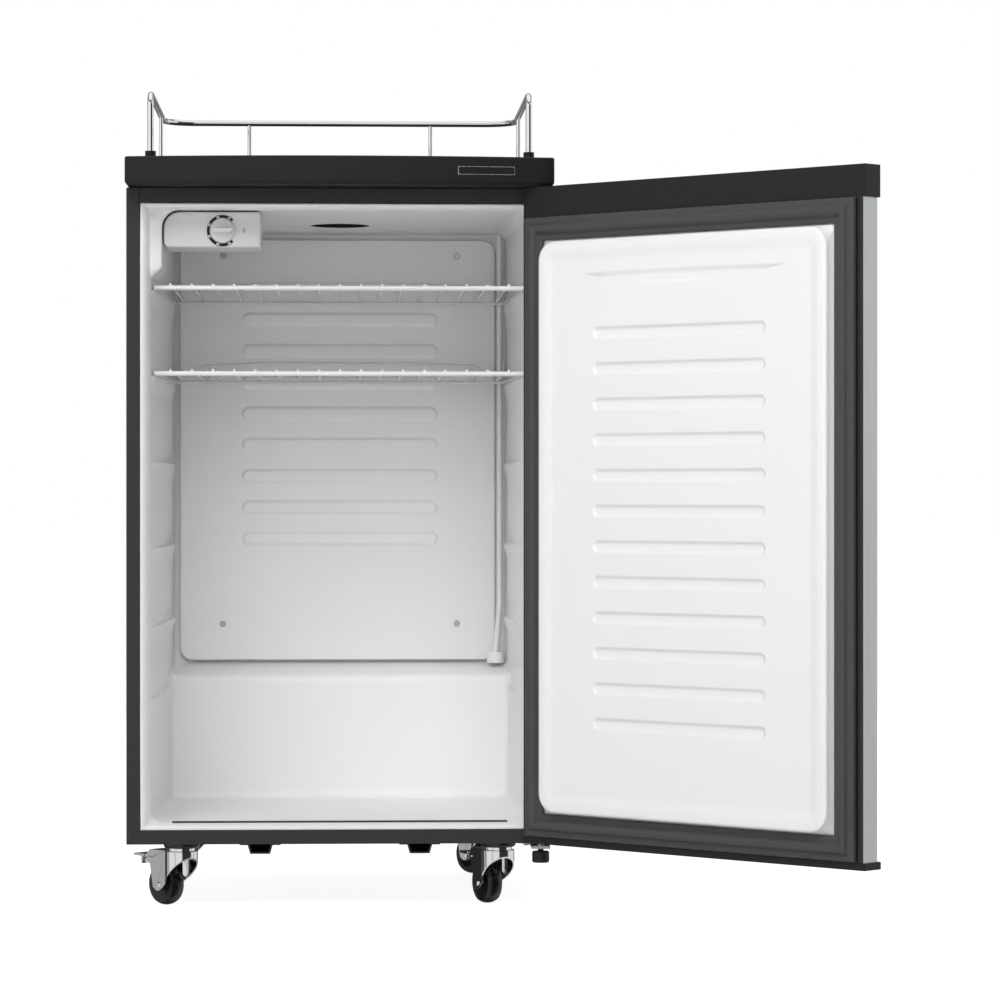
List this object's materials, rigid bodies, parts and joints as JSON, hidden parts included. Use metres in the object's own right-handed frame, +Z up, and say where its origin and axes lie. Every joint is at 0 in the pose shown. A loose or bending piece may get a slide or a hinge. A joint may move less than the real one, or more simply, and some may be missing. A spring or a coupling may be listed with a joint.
{
  "type": "kegerator",
  "caption": "Cabinet on swivel casters that chills a beer keg, with a hinged insulated door, wire shelves, thermostat dial, guard rail and a hole for a draft tower in its top.",
  "frame": {"origin": "on the floor, under the middle of the cabinet's front frame face", "axes": "+X to the hinge side (the user's right), +Y from the door to the back, +Z up; door swung open 135 degrees at rest"},
  "size_m": [0.8565, 0.9443, 0.9847],
  "materials": {
    "black_steel": "satin black paint, very fine orange peel",
    "white_liner": "vacuum-formed white, soft gloss",
    "foam": "cut foam",
    "roll_bond_white": "white coated aluminium",
    "zinc_steel": "zinc plated",
    "black_plastic": "fine moulded grain",
    "badge_silver": "blank satin strip",
    "chrome": "bright plate",
    "black_metal": "black enamel",
    "tyre_black": "moulded rubber",
    "hub_plastic": "moulded",
    "stainless": "vertical brushed grain",
    "gasket_grey": "soft extruded vinyl",
    "bush_white": "moulded",
    "wire_white": "white dipped coating",
    "rubber_black": "matte"
  },
  "bodies": {
    "root": {"badge_plate": "badge_silver", "base_crossrails": "black_metal", "base_panel": "black_steel", "caster_mounts": "black_metal", "compressor": "black_metal", "compressor_mounts": "rubber_black", "compressor_tray": "black_metal", "condenser_coil": "black_metal", "drain_tube": "white_liner", "drip_pan": "black_plastic", "evaporator_plate": "roll_bond_white", "evaporator_screws": "zinc_steel", "foam_insulation": "foam", "front_frame": "black_steel", "guard_rail": "chrome", "hinge_pins": "zinc_steel", "hinge_screws": "zinc_steel", "inner_liner": "white_liner", "left_side_panel": "black_steel", "lower_hinge_bracket": "zinc_steel", "power_cord": "rubber_black", "rail_collars": "black_plastic", "rear_panel": "black_steel", "right_side_panel": "black_steel", "thermostat_body": "black_plastic", "thermostat_housing": "white_liner", "top_cover": "black_plastic", "top_panel": "black_steel", "tower_sleeve": "black_plastic", "upper_hinge_bracket": "zinc_steel"},
    "door": {"door_bottom_trim": "black_plastic", "door_foam": "foam", "door_gasket": "gasket_grey", "door_hinge_bushes": "bush_white", "door_liner": "white_liner", "door_outer_panel": "stainless", "door_top_cap": "black_plastic"},
    "thermostat_knob": {"thermostat_knob": "white_liner"},
    "upper_shelf": {"upper_shelf": "wire_white"},
    "lower_shelf": {"lower_shelf": "wire_white"},
    "leveling_foot": {"hinge_leveling_foot": "black_plastic"},
    "caster_front_left": {"caster_front_left_fork": "chrome", "caster_front_left_axle": "chrome"},
    "wheel_front_left": {"caster_front_left_tyre": "tyre_black", "caster_front_left_hub": "hub_plastic"},
    "pedal_front_left": {"caster_front_left_pedal": "chrome"},
    "caster_front_right": {"caster_front_right_fork": "chrome", "caster_front_right_axle": "chrome"},
    "wheel_front_right": {"caster_front_right_tyre": "tyre_black", "caster_front_right_hub": "hub_plastic"},
    "pedal_front_right": {"caster_front_right_pedal": "chrome"},
    "caster_rear_left": {"caster_rear_left_fork": "chrome", "caster_rear_left_axle": "chrome"},
    "wheel_rear_left": {"caster_rear_left_tyre": "tyre_black", "caster_rear_left_hub": "hub_plastic"},
    "caster_rear_right": {"caster_rear_right_fork": "chrome", "caster_rear_right_axle": "chrome"},
    "wheel_rear_right": {"caster_rear_right_tyre": "tyre_black", "caster_rear_right_hub": "hub_plastic"}
  },
  "joints": [
    {"name": "door_hinge", "type": "hinge", "parent": "root", "child": "door", "pos_m": [0.2396, -0.025, 0.083], "axis": [0, 0, 1], "range_deg": [-135, 20]},
    {"name": "thermostat_turn", "type": "hinge", "parent": "root", "child": "thermostat_knob", "pos_m": [-0.1417, 0.0357, 0.818], "axis": [0, 1, 0], "range_deg": [0, 315]},
    {"name": "upper_shelf_slide", "type": "slide", "parent": "root", "child": "upper_shelf", "axis": [0, -1, 0], "range_m": [0, 0.06]},
    {"name": "lower_shelf_slide", "type": "slide", "parent": "root", "child": "lower_shelf", "axis": [0, -1, 0], "range_m": [0, 0.06]},
    {"name": "leveling_foot_turn", "type": "hinge", "parent": "root", "child": "leveling_foot", "pos_m": [0.2396, -0.025, 0.06], "axis": [0, 0, 1], "continuous": true},
    {"name": "swivel_front_left", "type": "hinge", "parent": "root", "child": "caster_front_left", "pos_m": [-0.192, 0.06, 0.0675], "axis": [0, 0, 1], "continuous": true},
    {"name": "roll_front_left", "type": "hinge", "parent": "caster_front_left", "child": "wheel_front_left", "pos_m": [-0.21128, 0.08298, 0.0254], "axis": [0.766, 0.6428, 0], "continuous": true},
    {"name": "brake_front_left", "type": "hinge", "parent": "caster_front_left", "child": "pedal_front_left", "pos_m": [-0.22157, 0.09524, 0.057], "axis": [-0.766, -0.6428, 0], "range_deg": [0, 18]},
    {"name": "swivel_front_right", "type": "hinge", "parent": "root", "child": "caster_front_right", "pos_m": [0.192, 0.06, 0.0675], "axis": [0, 0, 1], "continuous": true},
    {"name": "roll_front_right", "type": "hinge", "parent": "caster_front_right", "child": "wheel_front_right", "pos_m": [0.1798, 0.08741, 0.0254], "axis": [0.9135, 0.4067, 0], "continuous": true},
    {"name": "brake_front_right", "type": "hinge", "parent": "caster_front_right", "child": "pedal_front_right", "pos_m": [0.17329, 0.10202, 0.057], "axis": [-0.9135, -0.4067, 0], "range_deg": [0, 18]},
    {"name": "swivel_rear_left", "type": "hinge", "parent": "root", "child": "caster_rear_left", "pos_m": [-0.192, 0.43, 0.0675], "axis": [0, 0, 1], "continuous": true},
    {"name": "roll_rear_left", "type": "hinge", "parent": "caster_rear_left", "child": "wheel_rear_left", "pos_m": [-0.21047, 0.45364, 0.0254], "axis": [0.788, 0.6157, 0], "continuous": true},
    {"name": "swivel_rear_right", "type": "hinge", "parent": "root", "child": "caster_rear_right", "pos_m": [0.192, 0.43, 0.0675], "axis": [0, 0, 1], "continuous": true},
    {"name": "roll_rear_right", "type": "hinge", "parent": "caster_rear_right", "child": "wheel_rear_right", "pos_m": [0.17437, 0.45427, 0.0254], "axis": [0.809, 0.5878, 0], "continuous": true}
  ]
}
